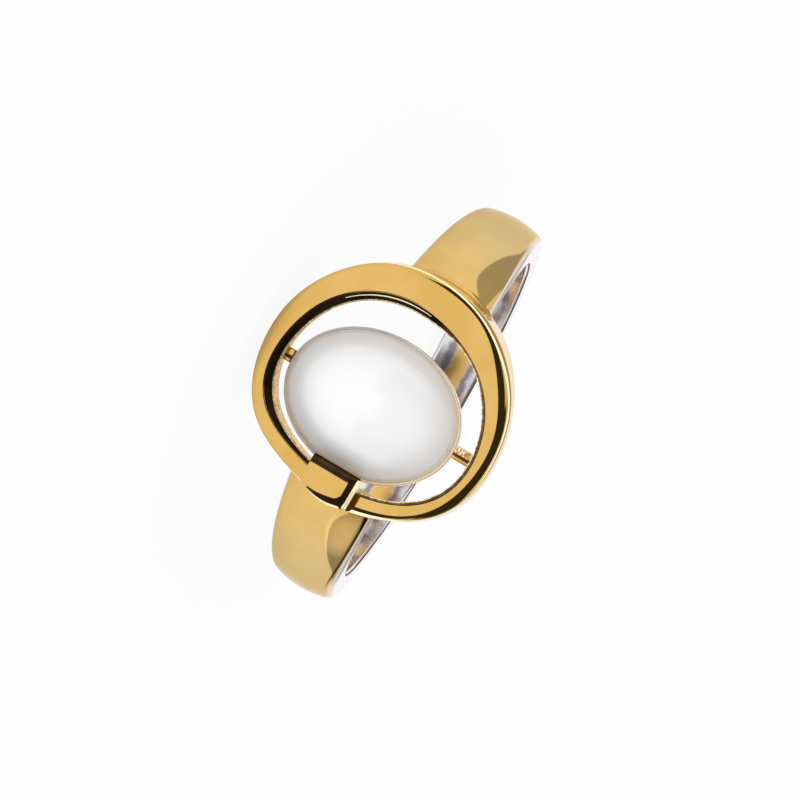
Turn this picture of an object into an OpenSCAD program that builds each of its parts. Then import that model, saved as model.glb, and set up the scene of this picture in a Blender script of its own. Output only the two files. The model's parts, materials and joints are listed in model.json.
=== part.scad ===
// Mother-of-pearl ring: an oval cabochon hangs inside an open crescent hoop
// on a tapering band. Each piece is drawn with the finger's axis along Y and
// the head up, and the whole ring is then laid on its side, as it rests on a
// table.

/* [Band] */
// Inside diameter of the finger hole
bore_d = 17.8; // [17:0.1:18.4]
// Thickness of the band at its middle line
band_t = 1.8; // [1.4:0.05:2]
// Width of the band half way round, level with the finger's axis
band_w = 3.3; // [2.6:0.1:4]
// Width that the band gains for each millimetre towards the head
band_taper = 0.12; // [0.05:0.01:0.18]
// Flare of the band: width gained with the square of the same distance
band_flare = 0.005; // [0:0.001:0.008]
// Height of the crown across the band's outer face
band_crown = 0.3; // [0.1:0.01:0.4]

/* [Hoop] */
// Height of the hoop's flat face above the finger's axis
hoop_top = 12.2; // [12:0.05:12.6]
// Place of the hoop's middle along the finger's axis
hoop_shift = 0.15; // [-0.3:0.05:0.3]
// Rounding of the hoop's outer upper edge
hoop_round = 0.3; // [0.1:0.05:0.4]
// Rounding of the hoop's inner upper edge
inner_round = 0.08; // [0.05:0.01:0.15]
// Depth of the polished inner wall above the unpolished ledge
ledge_depth = 0.85; // [0.6:0.05:1.2]
// How far the polished inner wall leans in on its way down
wall_lean = 0.22; // [0.1:0.01:0.3]
// How far the ledge stands into the opening
ledge_w = 0.08; // [0.04:0.01:0.15]

/* [Tab] */
// Length of the raised tab
tab_l = 2.5; // [2:0.1:3]
// Place of the tab's middle along the finger's axis
tab_shift = -0.1; // [-0.5:0.05:0.3]
// Distance of the tab's inner side from the hoop's middle
tab_in = 4.1; // [3.95:0.05:4.3]
// Radius of the tab's outer side, round the hoop's middle
tab_out = 5.85; // [5.6:0.05:6]
// Height of the tab above the hoop's face
tab_rise = 0.12; // [0.08:0.02:0.3]
// Rounding of the tab's inner edge
tab_inner_round = 0.45; // [0.3:0.05:0.6]
// Rounding of the tab's outer edge
tab_round = 0.3; // [0.1:0.05:0.4]
// Rounding of the tab's two ends
tab_end_round = 0.35; // [0.1:0.05:0.45]
// Width of the notch that parts the tab from the tail
notch_w = 0.16; // [0.1:0.02:0.4]
// Slope of the tail's end beyond the notch
notch_slope = 0.35; // [0.05:0.05:0.4]
// Depth of the notch below the hoop's face
notch_depth = 0.4; // [0.2:0.05:0.6]
// How far the notch runs in under the tab's end
notch_under = 0.02; // [0.01:0.01:0.1]

/* [Stone] */
// Length of the cabochon, along the finger's axis
pearl_l = 8.84; // [7.6:0.02:8.9]
// Width of the cabochon
pearl_w = 6.9; // [6:0.02:6.92]
// Height of the cabochon's upright edge
pearl_edge = 0.3; // [0.2:0.05:0.4]
// Height of the bevel's top, where the dome starts
pearl_bevel = 0.62; // [0.5:0.02:0.7]
// Height of the dome's top
pearl_top = 2.1; // [1.8:0.05:2.2]
// Distance of the cabochon's middle from the hoop's, towards the tab
pearl_shift = 0.82; // [0.76:0.02:0.88]
// Place of the cabochon's middle along the finger's axis, from the hoop's
pearl_along = -0.28; // [-0.3:0.02:0]
// Height of the cabochon's flat back above the finger's axis
pearl_seat = 10.4; // [10.2:0.05:10.5]
// Gap between the cabochon and its cup
pearl_gap = 0.03; // [0.02:0.01:0.05]

/* [Cup] */
// Wall of the cup round the stone
cup_wall = 0.1; // [0.08:0.02:0.2]
// Thickness of the cup's floor
cup_floor = 0.3; // [0.2:0.05:0.5]
// Height of the cup's rim above the stone's back
cup_rim = 0.35; // [0.2:0.05:0.45]
// Width of the wider bar of each pair that carries the cup
bar_w = 0.38; // [0.2:0.02:0.4]
// Width of the narrower bar
bar_thin_w = 0.2; // [0.14:0.02:0.3]
// Width of the groove between the two bars
bar_space = 0.1; // [0.06:0.01:0.2]
// Depth of the groove between the two bars
bar_groove = 0.14; // [0.1:0.01:0.2]
// Distance of the bars' middle from the stone's, towards the tab
bar_shift = -0.12; // [-0.3:0.02:0.1]
// Depth of the bars
bar_depth = 0.45; // [0.3:0.05:0.6]

/* [Rest] */
// Lean of the ring on its side: the round head props it up
rest_lean = 14.1; // [13.8:0.01:14.4]
// Place of the finger hole's middle in front of the origin
rest_front = 1.37; // [-2:0.01:4]

/* [Hidden] */
$fn = 96;

bore_r = bore_d / 2;
band_r = bore_r + band_t;

// Outline of the hoop from above. angle: degrees from the tab towards the
// narrow tail; inner: radius of the flat face's inner edge; outer: radius of
// the outer wall at its top; foot: its radius level with the finger hole's top.
INNER = 1;
OUTER = 2;
FOOT = 3;
HOOP = [
  [  0, 5.05, 5.82, 5.86],
  [ 20, 5.14, 5.97, 5.95],
  [ 40, 5.57, 6.26, 6.16],
  [ 60, 5.81, 6.53, 6.36],
  [ 80, 5.65, 6.40, 6.22],
  [100, 5.32, 6.26, 6.08],
  [120, 4.93, 6.18, 6.00],
  [140, 4.69, 6.12, 6.06],
  [160, 4.45, 6.15, 6.15],
  [180, 4.58, 6.16, 6.20],
  [200, 4.71, 6.28, 6.30],
  [220, 5.01, 6.28, 6.28],
  [240, 5.20, 6.31, 6.31],
  [260, 5.40, 6.31, 6.31],
  [280, 5.67, 6.34, 6.34],
  [300, 5.74, 6.33, 6.33],
  [320, 5.43, 6.08, 6.10],
  [340, 5.00, 5.76, 5.80],
];

// Smooth closed curve through one column of the outline.
function hoop_row(i, column) = HOOP[(i + len(HOOP)) % len(HOOP)][column];
function curve(a, b, c, d, t) =
  b + 0.5 * t * (c - a + t * (2 * a - 5 * b + 4 * c - d + t * (3 * b - a - 3 * c + d)));
function hoop_r(angle, column) =
  let (p = angle * len(HOOP) / 360, i = floor(p))
  curve(hoop_row(i - 1, column), hoop_row(i, column),
        hoop_row(i + 1, column), hoop_row(i + 2, column), p - i);

// Level ring of points on the hoop's outline, moved outwards by grow.
function hoop_ring(column, z, grow, sides = 72) =
  [for (k = [0 : sides - 1])
    let (a = k * 360 / sides, r = hoop_r(a, column) + grow)
    [r * cos(a), r * sin(a), z]];

// Level oval ring of points.
function oval_ring(w, l, z, sides = 60) =
  [for (k = [0 : sides - 1])
    let (a = k * 360 / sides)
    [w / 2 * cos(a), l / 2 * sin(a), z]];

// Quarter round as steps of [outwards, upwards], from upright to level.
function quarter(r, steps) =
  [for (i = [0 : steps]) let (a = 90 * i / steps) [r * cos(a) - r, r * sin(a) - r]];

// Closed solid through level rings, from the lowest to the highest.
module loft(rings) {
  n = len(rings[0]);
  last = (len(rings) - 1) * n;
  sides = [
    for (j = [0 : len(rings) - 2])
      for (k = [0 : n - 1])
        let (lo = j * n, hi = lo + n, next = (k + 1) % n)
          [lo + k, hi + k, hi + next, lo + next]
  ];
  floor_face = [for (k = [0 : n - 1]) k];
  roof_face = [for (k = [n - 1 : -1 : 0]) last + k];
  points = [for (ring = rings) for (p = ring) p];
  polyhedron(points, concat([floor_face, roof_face], sides));
}

// Cylinder along the finger's axis.
module finger_rod(r) {
  rotate([90, 0, 0]) cylinder(h = 20, r = r, center = true);
}

// Half the band's width at a height above the finger's axis.
function band_half(z) = (band_w + band_taper * z + band_flare * z * z) / 2;

// Tapering ring, crowned on its outside.
module band() {
  crown_r = band_w * band_w / (8 * band_crown) + band_crown / 2;
  reach = band_r + 1;
  wide = band_half(reach);
  heights = [for (i = [-4 : 4]) i * reach / 4];
  difference() {
    intersection() {
      rotate([90, 0, 0]) rotate_extrude() intersection() {
        translate([band_r - crown_r, 0]) circle(r = crown_r);
        translate([bore_r - 0.5, -wide]) square([band_t + 1, 2 * wide]);
      }
      rotate([90, 0, 90]) linear_extrude(height = 2 * reach, center = true)
        polygon(concat([for (z = heights) [band_half(z), z]],
                       [for (z = heights) [-band_half(-z), -z]]));
    }
    finger_rod(bore_r);
  }
}

// Outer form of the hoop, with its underside on the finger.
module hoop_body() {
  difference() {
    loft(concat(
      [for (z = [bore_r / 2, bore_r]) hoop_ring(FOOT, z, 0)],
      [for (s = quarter(hoop_round, 3)) hoop_ring(OUTER, hoop_top + s[1], s[0])]));
    finger_rod(bore_r);
  }
}

// Opening of the hoop: rounded at the top, stepped at the ledge.
module hoop_opening() {
  ledge_z = hoop_top - ledge_depth;
  foot = inner_round + wall_lean;
  loft(concat(
    [hoop_ring(INNER, bore_r / 2, -foot - ledge_w),
     hoop_ring(INNER, ledge_z, -foot - ledge_w),
     hoop_ring(INNER, ledge_z, -foot)],
    [for (s = quarter(inner_round, 2)) hoop_ring(INNER, hoop_top + s[1], -inner_round - s[0])],
    [hoop_ring(INNER, hoop_top + 1, 0)]));
}

// Rectangle with two corner radii: left for its left side, right for its
// right side.
module soft_rectangle(w, h, left, right) {
  difference() {
    square([w, h]);
    for (y = [0, h - left]) translate([0, y]) square(left);
    for (y = [0, h - right]) translate([w - right, y]) square(right);
  }
  for (y = [left, h - left]) translate([left, y]) circle(r = left);
  for (y = [right, h - right]) translate([w - right, y]) circle(r = right);
}

// Raised end of the thick arm, lapped over the edge of the stone. Its outer
// side is round, about the hoop's middle.
module tab() {
  above_bevel = 0.3;
  foot = pearl_seat + pearl_bevel + above_bevel;
  tall = 2 * (hoop_top + tab_rise - foot);
  start = tab_shift - tab_l / 2;
  intersection() {
    translate([tab_in, start + tab_l, foot - tall / 2]) rotate([90, 0, 0])
      linear_extrude(height = tab_l)
        soft_rectangle(tab_out - tab_in + 1, tall, tab_inner_round, tab_round);
    translate([tab_in - 1, start, foot - tall / 2]) rotate([90, 0, 90])
      linear_extrude(height = tab_out - tab_in + 2)
        soft_rectangle(tab_l, tall, tab_end_round, tab_end_round);
    rotate_extrude() intersection() {
      translate([-tab_out, foot - tall / 2])
        soft_rectangle(2 * tab_out, tall, tab_round, tab_round);
      translate([0, foot]) square([tab_out, tall]);
    }
  }
}

// Notch between the tab's end and the sloped end of the tail.
module notch() {
  tab_end = tab_shift + tab_l / 2;
  start = tab_end - notch_under;
  over = 1;
  translate([tab_in - over, 0, hoop_top]) rotate([90, 0, 90])
    linear_extrude(height = tab_out - tab_in + 2 * over)
      polygon([[start, -notch_depth], [tab_end + notch_w, -notch_depth],
               [tab_end + notch_w + notch_slope, 0], [tab_end + notch_w + notch_slope, over],
               [start, over]]);
}

// Upright cylinder with an oval plan.
module oval(w, l, h) {
  scale([w / 2, l / 2, 1]) cylinder(h = h, r = 1);
}

// Shallow cup that holds the stone.
module stone_cup() {
  clear_w = pearl_w + 2 * pearl_gap;
  clear_l = pearl_l + 2 * pearl_gap;
  translate([pearl_shift, pearl_along, pearl_seat - pearl_gap - cup_floor]) difference() {
    oval(clear_w + 2 * cup_wall, clear_l + 2 * cup_wall, cup_floor + pearl_gap + cup_rim);
    translate([0, 0, cup_floor]) oval(clear_w, clear_l, cup_rim + 1);
  }
}

// Pair of bars from one end of the cup to the hoop, with a groove between
// them. side is 1 or -1.
module bar_pair(side) {
  start = pearl_l / 2 + pearl_gap + cup_wall / 2;
  length = hoop_r(180 - side * 90, INNER) - side * pearl_along - start;
  pair = bar_w + bar_space + bar_thin_w;
  near = pearl_along + (side > 0 ? start : -start - length);
  top = pearl_seat + cup_rim - 0.05;
  translate([pearl_shift + bar_shift - pair / 2, near, top - bar_depth]) {
    cube([pair, length, bar_depth - bar_groove]);
    cube([bar_w, length, bar_depth]);
    translate([bar_w + bar_space, 0, 0]) cube([bar_thin_w, length, bar_depth]);
  }
}

// Depth of a point of the hoop's lower edge below the finger hole's middle,
// once the ring lies on its side.
function hoop_drop(angle) =
  let (r = hoop_r(angle, FOOT), x = r * cos(angle), y = r * sin(angle) + hoop_shift,
       z = sqrt(bore_r * bore_r - x * x))
  -y * cos(rest_lean) - z * sin(rest_lean);

// Lays the ring on its side, on the hoop's lower edge and the back of the
// band.
module at_rest() {
  translate([0, rest_front, max([for (a = [240 : 5 : 300]) hoop_drop(a)])])
    rotate([90 - rest_lean, 0, 0]) children();
}

module gold_frame() {
  color("gold") at_rest() {
    difference() {
      union() {
        band();
        translate([0, hoop_shift, 0]) hoop_body();
      }
      translate([0, hoop_shift, 0]) hoop_opening();
      translate([0, hoop_shift, 0]) notch();
    }
    translate([0, hoop_shift, 0]) {
      tab();
      stone_cup();
      bar_pair(1);
      bar_pair(-1);
    }
  }
}

// Cabochon: an upright edge, a bevel, then a low dome that closes in a small
// flat.
module pearl_cabochon() {
  steps = 9;
  bevel_in = 0.95;
  flat = 0.02;
  color("ivory") at_rest() translate([pearl_shift, hoop_shift + pearl_along, pearl_seat])
    loft(concat(
      [oval_ring(pearl_w, pearl_l, 0), oval_ring(pearl_w, pearl_l, pearl_edge)],
      [for (i = [0 : steps])
        let (share = 1 - (1 - flat) * pow(i / steps, 1.3), size = bevel_in * share,
             rise = (pearl_top - pearl_bevel) * (1 - pow(share, 2.2)))
        oval_ring(pearl_w * size, pearl_l * size, pearl_bevel + rise)]));
}

gold_frame();
pearl_cabochon();
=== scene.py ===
import json
from math import atan2, cos, degrees, hypot, pi, radians, sin, sqrt

import bmesh
import bpy
from bmesh.types import BMEdge, BMVert
from mathutils import Matrix, Vector


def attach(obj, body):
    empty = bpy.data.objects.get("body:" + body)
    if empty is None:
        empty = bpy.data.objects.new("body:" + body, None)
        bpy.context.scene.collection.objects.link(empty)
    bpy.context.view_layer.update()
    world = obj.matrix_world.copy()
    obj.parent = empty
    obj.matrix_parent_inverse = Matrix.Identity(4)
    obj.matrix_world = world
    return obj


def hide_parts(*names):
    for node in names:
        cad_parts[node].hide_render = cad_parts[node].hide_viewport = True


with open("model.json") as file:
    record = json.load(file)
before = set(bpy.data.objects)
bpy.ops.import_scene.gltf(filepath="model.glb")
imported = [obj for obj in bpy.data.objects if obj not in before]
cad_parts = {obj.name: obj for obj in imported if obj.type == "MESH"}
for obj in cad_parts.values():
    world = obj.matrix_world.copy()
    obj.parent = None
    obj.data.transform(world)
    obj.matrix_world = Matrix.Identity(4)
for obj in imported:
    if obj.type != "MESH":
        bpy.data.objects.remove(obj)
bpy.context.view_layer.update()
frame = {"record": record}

# Pieces are shaped in millimetres in the ring's own frame: X towards the tab,
# Y along the finger, Z to the head, from the middle of the finger hole. LAY
# then lays them on the table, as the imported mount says.
MM = 0.001
FINGER = frame["record"]["mounts"][0]
MIDDLE = Vector(FINGER["pos_m"])
LEAN = atan2(FINGER["axis"][1], FINGER["axis"][2])
LAY = Matrix.Translation(MIDDLE) @ Matrix.Rotation(pi / 2 - LEAN, 4, "X") @ Matrix.Scale(MM, 4)

# Points closer than this are merged. An edge is kept crisp by a second loop
# that lies HOLD away from it.
MERGE = 1e-5
HOLD = 0.02

# Band: radius of the finger hole, thickness, width level with the finger's
# middle, what the width gains towards the head, and height of the crown.
BORE_R = FINGER["dims"]["r_mm"]
BAND_T = 1.8
BAND_R = BORE_R + BAND_T
BAND_W = 3.3
BAND_TAPER = 0.12
BAND_FLARE = 0.005
BAND_CROWN = 0.3
CROWN_R = BAND_W ** 2 / (8 * BAND_CROWN) + BAND_CROWN / 2
CROWN_REACH = 2.2
# The band ends at the hoop's walls, this many degrees to each side of the head.
BAND_END = 31.5
BAND_STEPS = 300
# Half width that its section is drawn with, and the rounding of its outer and
# inner edges. PALE is the share of the outer edge that is silver, and DIM the
# share of the inner edge that is painted as shade.
DRAWN_HALF = 2.0
OUTER_EDGE, COMFORT_EDGE = 0.38, 0.22
PALE, DIM = 0.2, 0.35

# Hoop: height of its flat face, and its place along the finger.
HOOP_TOP = 12.2
HOOP_SHIFT = 0.15
HOOP_STEPS = 360
# Outline of the hoop: degrees from the tab towards the narrow tail, radius of
# the flat face's inner edge, radius of the outer wall at its top and at its
# foot, width and depth of the rounded outer shoulder, place of the painted
# highlight line on it (0 at the face, 90 at the wall), lean of the inner wall.
AT, INNER, OUTER, BASE, SHOULDER, DEEP, LINE, LEANING = range(8)
HOOP = [
    (0, 5.05, 5.82, 5.86, 0.30, 0.25, 66, 0.12),
    (20, 5.14, 5.97, 5.95, 0.42, 0.30, 60, 0.10),
    (40, 5.57, 6.26, 6.16, 0.30, 0.22, 62, 0.13),
    (60, 5.81, 6.53, 6.36, 0.42, 0.50, 76, 0.20),
    (80, 5.65, 6.40, 6.22, 0.44, 0.60, 66, 0.22),
    (100, 5.32, 6.26, 6.08, 0.48, 0.62, 62, 0.22),
    (120, 4.93, 6.18, 6.00, 0.62, 0.60, 58, 0.18),
    (140, 4.69, 6.12, 6.06, 0.50, 0.50, 42, 0.13),
    (160, 4.45, 6.15, 6.15, 0.41, 0.42, 36, 0.16),
    (180, 4.58, 6.16, 6.20, 0.40, 0.38, 42, 0.27),
    (200, 4.71, 6.28, 6.30, 0.33, 0.35, 56, 0.29),
    (220, 5.01, 6.28, 6.28, 0.28, 0.30, 72, 0.29),
    (240, 5.20, 6.31, 6.31, 0.24, 0.26, 78, 0.27),
    (260, 5.40, 6.31, 6.31, 0.32, 0.28, 78, 0.24),
    (280, 5.67, 6.34, 6.34, 0.34, 0.28, 76, 0.23),
    (300, 5.74, 6.33, 6.33, 0.26, 0.26, 74, 0.26),
    (320, 5.43, 6.08, 6.10, 0.20, 0.22, 72, 0.17),
    (340, 5.00, 5.76, 5.80, 0.18, 0.20, 72, 0.10),
]
# Waves that the smooth curve along a column is made of.
HARMONICS = 7
# Painted highlight line on the shoulder: half its width in degrees, what it
# gains by the notch, where it is widest in radians, how fast that fades, and
# its lowest place.
LINE_HALF, LINE_MORE = 7, 14
LINE_WIDEST, LINE_FADE = 0.15, 8
LINE_LOWEST = 88.0
# Inner wall: rounding of its top, its least lean, and the depth and the width
# of the cast ledge, which is thinner on the narrow arm's side.
INNER_ROUND = 0.08
LEAST_LEAN = 0.02
LEDGE_DEPTH = 0.85
LEDGE_W, LEDGE_THIN = 0.08, 0.05
# How far the cast wall draws back under the ledge, what it gains, and the
# degrees where it gains most.
UNDERCUT, UNDERCUT_MORE, UNDERCUT_AT = 0.12, 0.21, 228
# The underside stays this far off the band's bore.
UNDERSIDE_GAP = 0.01
# A thin step half way down the inner wall, where the crescent is widest. It
# takes the painted highlight where it is wider than STEP_SHOWS.
STEP_DEPTH = 0.36
STEP_W, STEP_SHOWS = 0.06, 0.03
STEP_AT, STEP_REACH = 205, 32

# Hollow fillet where the hoop's wall meets the band: width and height on the
# side away from the tab, and by the tab. From the band's middle line it is full
# to the first distance and gone at the second. Its rim dips into the band.
FILLET_W, FILLET_H = 0.36, 0.34
TAB_FILLET = 0.2
FILLET_FULL, FILLET_GONE = 0.9, 2.3
FILLET_SINK = 0.03

# Stone: length, width, heights of its upright edge, bevel and dome over its
# flat back, inset of the bevel, place of its middle, height of its back, gap to
# its cup; rings of the dome, how they crowd to its edge, power of its curve.
PEARL_L, PEARL_W = 8.84, 6.9
PEARL_GIRDLE, PEARL_BEVEL, PEARL_TOP = 0.3, 0.62, 2.1
PEARL_INSET = 0.2
PEARL_SHIFT = 0.82
PEARL_ALONG = -0.28 + HOOP_SHIFT
PEARL_SEAT = 10.4
PEARL_GAP = 0.03
DOME_STEPS = 44
DOME_SPREAD, DOME_CURVE = 1.3, 2.2

# Cup: wall, floor and rim. The rim is turned over the gap to the stone.
CUP_WALL = 0.1
CUP_FLOOR = 0.3
CUP_RIM = 0.35
CUP_ROUND = 0.1
RIM_LEAN, RIM_OVER = 0.02, 0.032

# Bars: widths, the groove between them, and their place from the stone's
# middle. The web in the groove laps into both.
BAR_W, BAR_THIN_W = 0.38, 0.2
BAR_SPACE = 0.1
BAR_DEPTH = 0.45
BAR_GROOVE = 0.14
BAR_SHIFT = -0.12
BAR_DROP = 0.05
BAR_ROUND, BAR_END_ROUND = 0.07, 0.02
WEB_LAP = 0.05

# Tab: its inner and outer side from the hoop's middle, its ends along the
# finger, its height over the hoop's face and the height of its foot.
TAB_IN, TAB_OUT = 4.1, 5.89
TAB_L = 2.5
TAB_SHIFT = -0.1
TAB_START, TAB_END = TAB_SHIFT - TAB_L / 2, TAB_SHIFT + TAB_L / 2
TAB_RISE = 0.12
TAB_FOOT = PEARL_SEAT + PEARL_BEVEL + 0.3
# The tab's inner side and tail end are rounded, its outer side has a slanted
# edge: their widths, that of the slant by the arm and by the tail, the depth
# of the round ends, and the slope of the slant.
TAB_INNER_W, TAB_END_W = 0.45, 0.34
TAB_SLANT_W = (0.07, 0.32)
TAB_END_DEPTH, TAB_SLANT = 0.45, 0.4
# Corners seen from above: by the arm, and by the tail outside and inside, each
# with what it gains at the flat top.
ARM_CORNER = 0.05
OUTER_CORNER, INNER_CORNER = (0.2, 0.12), (0.08, 0.06)
# The outer side falls back with the square of the distance from BULGE_AT, and
# flares to its foot. The pairs say from where to where each shape takes over.
TAB_BULGE, BULGE_AT = 0.17, 0.1
OUTWARDS, ALONG = (4.9, 5.4), (-1.2, 0.7)
TAB_FLARE, FLARED = 0.11, (5.2, 5.6)
# Finish of the tab: from where its outer side takes the painted highlight,
# and how level a face of the polished top is.
BRIGHT_FROM = -0.75
LEVEL = 0.995

# Notch between tab and tail: width, run and depth of the slope.
NOTCH_W = 0.16
NOTCH_SLOPE = 0.35
NOTCH_DEPTH = 0.4
# Ridges in the notch: width, place of each from the tab's end, depth of their
# tops, their two ends, and rounding.
RIDGE_W = 0.09
RIDGES = (-0.07, 0.06)
RIDGE_DROP = 0.14
RIDGE_IN, RIDGE_OUT = 4.2, TAB_OUT - 0.12
RIDGE_ROUND = 0.03

# Material slots of the gold pieces. The dark recess slot and the shaded slot
# hold painted shade and dark reflections, the bright edge slot painted highlights.
POLISHED, PAINTED_DARK, CAST, PAINTED_HIGHLIGHT, INSIDE, SHADED, CROWN, RIM = range(8)


# Meshes

def part_way(value, start, end):
    """How far a value is from start to end, held between 0 and 1."""
    return min(max((value - start) / (end - start), 0.0), 1.0)


def smooth_curve(column):
    """Smooth closed curve along one column of the hoop's outline."""
    rows = len(HOOP)
    waves = []
    for k in range(HARMONICS + 1):
        share = (1 if k == 0 else 2) / rows
        waves.append([share * sum(row[column] * way(radians(row[AT] * k)) for row in HOOP)
                      for way in (cos, sin)])

    def value(angle):
        return sum(a * cos(k * angle) + b * sin(k * angle) for k, (a, b) in enumerate(waves))
    return value


hoop_inner = smooth_curve(INNER)
hoop_outer = smooth_curve(OUTER)
hoop_base = smooth_curve(BASE)
line_place = smooth_curve(LINE)
shoulder_width = smooth_curve(SHOULDER)
shoulder_depth = smooth_curve(DEEP)
wall_lean = smooth_curve(LEANING)


def new_object(name, bm):
    """Object in the scene, made of a finished mesh."""
    mesh = bpy.data.meshes.new(name)
    bm.to_mesh(mesh)
    bm.free()
    made = bpy.data.objects.new(name, mesh)
    bpy.context.collection.objects.link(made)
    return made


def finish_mesh(name, bm, materials, crease=35):
    """Lays a closed mesh on the table as a piece that rides with the ring."""
    bmesh.ops.remove_doubles(bm, verts=bm.verts, dist=MERGE)
    bmesh.ops.recalc_face_normals(bm, faces=bm.faces)
    bmesh.ops.transform(bm, matrix=LAY, verts=bm.verts)
    for face in bm.faces:
        face.smooth = True
    piece = new_object(name, bm)
    piece.data.set_sharp_from_angle(angle=radians(crease))
    for material in materials:
        piece.data.materials.append(material)
    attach(piece, "root")
    return piece


def only(kind, geometry):
    """The elements of one kind out of mixed ones."""
    return [part for part in geometry if isinstance(part, kind)]


def closed_loop(bm, points):
    """Vertices joined in a closed loop of edges."""
    verts = [bm.verts.new(p) for p in points]
    edges = [bm.edges.new((a, b)) for a, b in zip(verts, verts[1:] + verts[:1])]
    return verts + edges


def spin_round(bm, profile, steps):
    """Spins a profile once round the upright axis and closes it."""
    bmesh.ops.spin(bm, geom=profile, cent=(0, 0, 0), axis=(0, 0, 1),
                   angle=2 * pi, steps=steps, use_merge=True)


def arc(cx, cy, r, start, end, steps):
    """Points on an arc, in degrees."""
    angles = [radians(start + (end - start) * i / steps) for i in range(steps + 1)]
    return [(cx + r * cos(a), cy + r * sin(a)) for a in angles]


# Band

def band_half(z):
    """Half the band's width at a height above the finger's middle."""
    return (BAND_W + BAND_TAPER * z + BAND_FLARE * z * z) / 2


def band_section():
    """Outline of the band's section as (place across, radius), not yet crowned."""
    flat = DRAWN_HALF - OUTER_EDGE
    crown_steps = 28
    crown = [(-flat + 2 * flat * i / crown_steps, BAND_R) for i in range(crown_steps + 1)]
    side = arc(flat, BAND_R - OUTER_EDGE, OUTER_EDGE, 80, 0, 8)
    side += [(DRAWN_HALF, BAND_R - OUTER_EDGE - HOLD), (DRAWN_HALF, BORE_R + COMFORT_EDGE + HOLD)]
    side += arc(DRAWN_HALF - COMFORT_EDGE, BORE_R + COMFORT_EDGE, COMFORT_EDGE, 0, -90, 8)
    bore_half, bore_steps = 1.7, 6
    bore = [(bore_half - 2 * bore_half * i / bore_steps, BORE_R) for i in range(bore_steps + 1)]
    return crown + side + bore + [(-y, r) for y, r in reversed(side)]


def band_slot(middle):
    """Finish of a face of the drawn band."""
    r, side = hypot(middle.x, middle.z), abs(middle.y)
    if r < BORE_R + COMFORT_EDGE:
        # A thin strip of the inner edge is painted as shade.
        return SHADED if side > DRAWN_HALF - COMFORT_EDGE * DIM else INSIDE
    return INSIDE if side > DRAWN_HALF - OUTER_EDGE * PALE else CROWN


def make_band(materials):
    """Tapering ring round the finger, from one side of the hoop to the other."""
    bm = bmesh.new()
    loop = closed_loop(bm, [(0, y, r) for y, r in band_section()])
    end = radians(BAND_END)
    bmesh.ops.rotate(bm, verts=bm.verts, matrix=Matrix.Rotation(end, 3, "Y"))
    swept = bmesh.ops.spin(bm, geom=loop, cent=(0, 0, 0), axis=(0, 1, 0),
                           angle=2 * pi - 2 * end, steps=BAND_STEPS)
    for rim in (loop, swept["geom_last"]):
        bmesh.ops.contextual_create(bm, geom=only(BMEdge, rim))
    for face in bm.faces:
        face.material_index = band_slot(face.calc_center_median())
    for v in bm.verts:
        r = hypot(v.co.x, v.co.z)
        y = v.co.y * band_half(v.co.z) / DRAWN_HALF
        crowned = (r - BORE_R) / BAND_T
        drop = crowned * (CROWN_R - sqrt(CROWN_R ** 2 - y * y))
        v.co = Vector((v.co.x * (r - drop) / r, y, v.co.z * (r - drop) / r))
    piece = finish_mesh("band", bm, materials)
    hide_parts("gold_frame")


# Hoop

# The hoop's section is drawn at round marks, spun, and then moved to the
# outline. Radii of the inner side: the face's inner edge, the foot of the upper
# wall, the step, the foot of the lower wall, the ledge and the cast wall.
FACE_EDGE, UPPER, STEPPED, FOOT, LEDGE, UNDER = 5.0, 4.8, 4.7, 4.6, 4.5, 4.4
# The face's finish laps over its rounded edge by this much.
FACE_LAP = 0.05
# Outer side: radius of the wall, size of the shoulder and radius where it
# starts, depths of the fillet and of the underside. SPLIT parts the two sides.
WALL = 6.0
ROUND = 0.4
ROUND_START = WALL - ROUND
FILLET, LOW = -1.0, -4.0
SPLIT = 5.3
# The painted highlight line on the shoulder, in degrees from the face.
LINE_START, LINE_END = 36, 54


def hoop_section():
    """Outline of the hoop's section as (radius, depth), drawn at its marks."""
    inner = [(FACE_EDGE + HOLD, 0), (FACE_EDGE, 0)]
    inner += arc(FACE_EDGE, -INNER_ROUND, INNER_ROUND, 90, 165, 5)[1:]
    inner += [(UPPER, -STEP_DEPTH), (STEPPED, -STEP_DEPTH - HOLD / 2), (FOOT, -LEDGE_DEPTH)]
    inner += [(LEDGE, -LEDGE_DEPTH - HOLD), (UNDER, LOW)]
    outer = [(FACE_EDGE, LOW), (5.4, LOW), (5.7, LOW), (WALL, LOW)]
    outer += [(WALL + 1 - cos(radians(a)), FILLET) for a in range(90, -1, -10)]
    outer += [(WALL, -ROUND - HOLD)] + arc(ROUND_START, -ROUND, ROUND, 0, 90, 20)
    outer += [(ROUND_START - HOLD, 0)]
    return inner + outer


def shoulder_turn(r, depth):
    """Degrees of a point on the drawn shoulder: 0 at the face, 90 at the wall."""
    return 90 - degrees(atan2(depth + ROUND, r - ROUND_START))


def step_width(angle):
    """Width of the step in the inner wall, nothing away from its middle."""
    off = abs((degrees(angle) - STEP_AT + 180) % 360 - 180)
    return STEP_W * max(0.0, cos(min(off / STEP_REACH, 1) * pi / 2)) ** 0.5


def ledge_width(angle):
    """Width of the cast ledge, thinner on the narrow arm's side."""
    return LEDGE_THIN + (LEDGE_W - LEDGE_THIN) * (0.5 - 0.5 * sin(angle))


def undercut(angle):
    """How far the cast wall draws back under the ledge."""
    return UNDERCUT + UNDERCUT_MORE * max(0.0, cos(angle - radians(UNDERCUT_AT))) ** 1.5


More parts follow.
